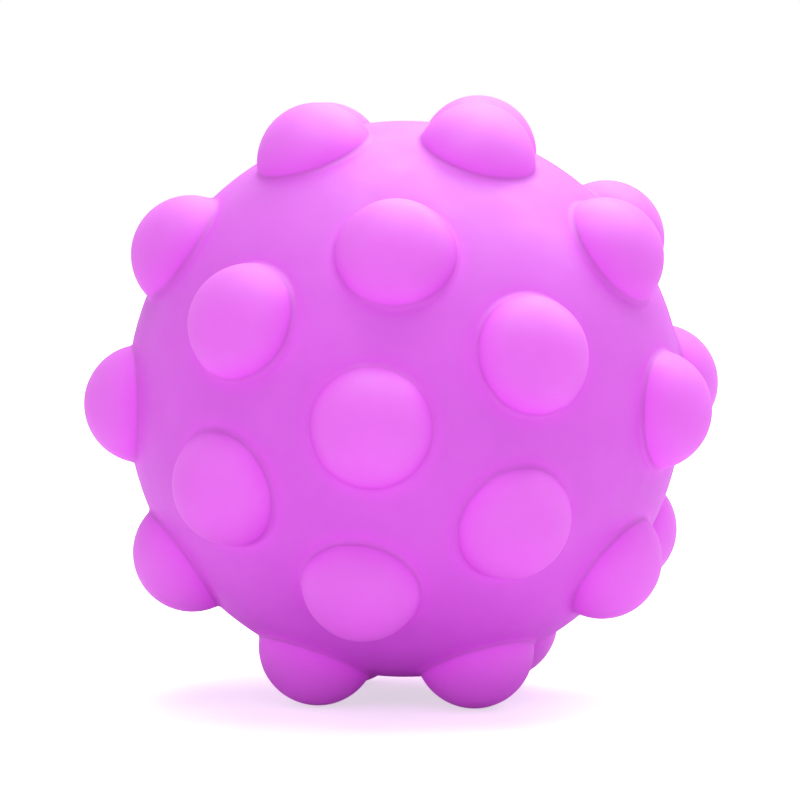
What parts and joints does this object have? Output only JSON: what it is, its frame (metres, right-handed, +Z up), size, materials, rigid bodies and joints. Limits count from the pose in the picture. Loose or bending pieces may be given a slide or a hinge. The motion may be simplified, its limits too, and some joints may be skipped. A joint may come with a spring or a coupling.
{
  "type": "sensory ball",
  "caption": "Hollow squeeze ball of soft silicone whose round bubbles press inside out one by one and can be pressed back, made as two bonded halves",
  "frame": {"origin": "on the ground, under the middle of the ball as it stands on its lowest bubbles", "axes": "+Z up; the two halves meet in the XZ plane, so the line through the two centre bubbles runs along Y, with the front half towards -Y (it tips down at the front by 1.3 degrees, as the ball stands); X is across"},
  "size_m": [0.0726, 0.0752, 0.0705],
  "materials": {
    "body_silicone": "satin",
    "bubble_silicone": "satin",
    "seam_adhesive": "satin"
  },
  "bodies": {
    "ball": {"front_half_shell": "body_silicone", "rear_half_shell": "body_silicone", "seam_bond": "seam_adhesive"},
    "front_centre_bubble": {"front_centre_bubble": "bubble_silicone"},
    "rear_centre_bubble": {"rear_centre_bubble": "bubble_silicone"},
    "front_inner_bubble_1": {"front_inner_bubble_1": "bubble_silicone"},
    "front_inner_bubble_2": {"front_inner_bubble_2": "bubble_silicone"},
    "front_inner_bubble_3": {"front_inner_bubble_3": "bubble_silicone"},
    "front_inner_bubble_4": {"front_inner_bubble_4": "bubble_silicone"},
    "front_inner_bubble_5": {"front_inner_bubble_5": "bubble_silicone"},
    "front_inner_bubble_6": {"front_inner_bubble_6": "bubble_silicone"},
    "rear_inner_bubble_1": {"rear_inner_bubble_1": "bubble_silicone"},
    "rear_inner_bubble_2": {"rear_inner_bubble_2": "bubble_silicone"},
    "rear_inner_bubble_3": {"rear_inner_bubble_3": "bubble_silicone"},
    "rear_inner_bubble_4": {"rear_inner_bubble_4": "bubble_silicone"},
    "rear_inner_bubble_5": {"rear_inner_bubble_5": "bubble_silicone"},
    "rear_inner_bubble_6": {"rear_inner_bubble_6": "bubble_silicone"},
    "front_outer_bubble_1": {"front_outer_bubble_1": "bubble_silicone"},
    "front_outer_bubble_2": {"front_outer_bubble_2": "bubble_silicone"},
    "front_outer_bubble_3": {"front_outer_bubble_3": "bubble_silicone"},
    "front_outer_bubble_4": {"front_outer_bubble_4": "bubble_silicone"},
    "front_outer_bubble_5": {"front_outer_bubble_5": "bubble_silicone"},
    "front_outer_bubble_6": {"front_outer_bubble_6": "bubble_silicone"},
    "front_outer_bubble_7": {"front_outer_bubble_7": "bubble_silicone"},
    "front_outer_bubble_8": {"front_outer_bubble_8": "bubble_silicone"},
    "front_outer_bubble_9": {"front_outer_bubble_9": "bubble_silicone"},
    "front_outer_bubble_10": {"front_outer_bubble_10": "bubble_silicone"},
    "rear_outer_bubble_1": {"rear_outer_bubble_1": "bubble_silicone"},
    "rear_outer_bubble_2": {"rear_outer_bubble_2": "bubble_silicone"},
    "rear_outer_bubble_3": {"rear_outer_bubble_3": "bubble_silicone"},
    "rear_outer_bubble_4": {"rear_outer_bubble_4": "bubble_silicone"},
    "rear_outer_bubble_5": {"rear_outer_bubble_5": "bubble_silicone"},
    "rear_outer_bubble_6": {"rear_outer_bubble_6": "bubble_silicone"},
    "rear_outer_bubble_7": {"rear_outer_bubble_7": "bubble_silicone"},
    "rear_outer_bubble_8": {"rear_outer_bubble_8": "bubble_silicone"},
    "rear_outer_bubble_9": {"rear_outer_bubble_9": "bubble_silicone"},
    "rear_outer_bubble_10": {"rear_outer_bubble_10": "bubble_silicone"}
  },
  "joints": [
    {"name": "press_front_centre_bubble", "type": "slide", "parent": "ball", "child": "front_centre_bubble", "axis": [0, 0.9997, 0.0228], "range_m": [0, 0.0103]},
    {"name": "press_rear_centre_bubble", "type": "slide", "parent": "ball", "child": "rear_centre_bubble", "axis": [0, -0.9997, -0.0228], "range_m": [0, 0.0103]},
    {"name": "press_front_inner_bubble_1", "type": "slide", "parent": "ball", "child": "front_inner_bubble_1", "axis": [-0.4721, 0.804, 0.3614], "range_m": [0, 0.0103]},
    {"name": "press_front_inner_bubble_2", "type": "slide", "parent": "ball", "child": "front_inner_bubble_2", "axis": [-0.5331, 0.8173, -0.2188], "range_m": [0, 0.0103]},
    {"name": "press_front_inner_bubble_3", "type": "slide", "parent": "ball", "child": "front_inner_bubble_3", "axis": [-0.061, 0.8251, -0.5617], "range_m": [0, 0.0103]},
    {"name": "press_front_inner_bubble_4", "type": "slide", "parent": "ball", "child": "front_inner_bubble_4", "axis": [0.4721, 0.8197, -0.3244], "range_m": [0, 0.0103]},
    {"name": "press_front_inner_bubble_5", "type": "slide", "parent": "ball", "child": "front_inner_bubble_5", "axis": [0.5331, 0.8065, 0.2558], "range_m": [0, 0.0103]},
    {"name": "press_front_inner_bubble_6", "type": "slide", "parent": "ball", "child": "front_inner_bubble_6", "axis": [0.061, 0.7986, 0.5987], "range_m": [0, 0.0103]},
    {"name": "press_rear_inner_bubble_1", "type": "slide", "parent": "ball", "child": "rear_inner_bubble_1", "axis": [0.4548, -0.8202, 0.347], "range_m": [0, 0.0103]},
    {"name": "press_rear_inner_bubble_2", "type": "slide", "parent": "ball", "child": "rear_inner_bubble_2", "axis": [0.544, -0.8071, -0.2295], "range_m": [0, 0.0103]},
    {"name": "press_rear_inner_bubble_3", "type": "slide", "parent": "ball", "child": "rear_inner_bubble_3", "axis": [0.0893, -0.7987, -0.5951], "range_m": [0, 0.0103]},
    {"name": "press_rear_inner_bubble_4", "type": "slide", "parent": "ball", "child": "rear_inner_bubble_4", "axis": [-0.4548, -0.8035, -0.3841], "range_m": [0, 0.0103]},
    {"name": "press_rear_inner_bubble_5", "type": "slide", "parent": "ball", "child": "rear_inner_bubble_5", "axis": [-0.544, -0.8167, 0.1924], "range_m": [0, 0.0103]},
    {"name": "press_rear_inner_bubble_6", "type": "slide", "parent": "ball", "child": "rear_inner_bubble_6", "axis": [-0.0893, -0.825, 0.558], "range_m": [0, 0.0103]},
    {"name": "press_front_outer_bubble_1", "type": "slide", "parent": "ball", "child": "front_outer_bubble_1", "axis": [-0.7737, 0.2795, 0.5686], "range_m": [0, 0.0103]},
    {"name": "press_front_outer_bubble_2", "type": "slide", "parent": "ball", "child": "front_outer_bubble_2", "axis": [-0.9563, 0.2923, 0.0067], "range_m": [0, 0.0103]},
    {"name": "press_front_outer_bubble_3", "type": "slide", "parent": "ball", "child": "front_outer_bubble_3", "axis": [-0.7737, 0.3051, -0.5553], "range_m": [0, 0.0103]},
    {"name": "press_front_outer_bubble_4", "type": "slide", "parent": "ball", "child": "front_outer_bubble_4", "axis": [-0.2955, 0.3131, -0.9026], "range_m": [0, 0.0103]},
    {"name": "press_front_outer_bubble_5", "type": "slide", "parent": "ball", "child": "front_outer_bubble_5", "axis": [0.2955, 0.3131, -0.9026], "range_m": [0, 0.0103]},
    {"name": "press_front_outer_bubble_6", "type": "slide", "parent": "ball", "child": "front_outer_bubble_6", "axis": [0.7737, 0.3051, -0.5553], "range_m": [0, 0.0103]},
    {"name": "press_front_outer_bubble_7", "type": "slide", "parent": "ball", "child": "front_outer_bubble_7", "axis": [0.9563, 0.2923, 0.0067], "range_m": [0, 0.0103]},
    {"name": "press_front_outer_bubble_8", "type": "slide", "parent": "ball", "child": "front_outer_bubble_8", "axis": [0.7737, 0.2795, 0.5686], "range_m": [0, 0.0103]},
    {"name": "press_front_outer_bubble_9", "type": "slide", "parent": "ball", "child": "front_outer_bubble_9", "axis": [0.2955, 0.2715, 0.9159], "range_m": [0, 0.0103]},
    {"name": "press_front_outer_bubble_10", "type": "slide", "parent": "ball", "child": "front_outer_bubble_10", "axis": [-0.2955, 0.2715, 0.9159], "range_m": [0, 0.0103]},
    {"name": "press_rear_outer_bubble_1", "type": "slide", "parent": "ball", "child": "rear_outer_bubble_1", "axis": [0.7453, -0.306, 0.5924], "range_m": [0, 0.0103]},
    {"name": "press_rear_outer_bubble_2", "type": "slide", "parent": "ball", "child": "rear_outer_bubble_2", "axis": [0.9552, -0.2934, 0.04], "range_m": [0, 0.0103]},
    {"name": "press_rear_outer_bubble_3", "type": "slide", "parent": "ball", "child": "rear_outer_bubble_3", "axis": [0.8002, -0.2803, -0.5302], "range_m": [0, 0.0103]},
    {"name": "press_rear_outer_bubble_4", "type": "slide", "parent": "ball", "child": "rear_outer_bubble_4", "axis": [0.3396, -0.2719, -0.9004], "range_m": [0, 0.0103]},
    {"name": "press_rear_outer_bubble_5", "type": "slide", "parent": "ball", "child": "rear_outer_bubble_5", "axis": [-0.2507, -0.2712, -0.9293], "range_m": [0, 0.0103]},
    {"name": "press_rear_outer_bubble_6", "type": "slide", "parent": "ball", "child": "rear_outer_bubble_6", "axis": [-0.7453, -0.2786, -0.6057], "range_m": [0, 0.0103]},
    {"name": "press_rear_outer_bubble_7", "type": "slide", "parent": "ball", "child": "rear_outer_bubble_7", "axis": [-0.9552, -0.2912, -0.0534], "range_m": [0, 0.0103]},
    {"name": "press_rear_outer_bubble_8", "type": "slide", "parent": "ball", "child": "rear_outer_bubble_8", "axis": [-0.8002, -0.3042, 0.5168], "range_m": [0, 0.0103]},
    {"name": "press_rear_outer_bubble_9", "type": "slide", "parent": "ball", "child": "rear_outer_bubble_9", "axis": [-0.3396, -0.3127, 0.8871], "range_m": [0, 0.0103]},
    {"name": "press_rear_outer_bubble_10", "type": "slide", "parent": "ball", "child": "rear_outer_bubble_10", "axis": [0.2507, -0.3134, 0.9159], "range_m": [0, 0.0103]}
  ]
}
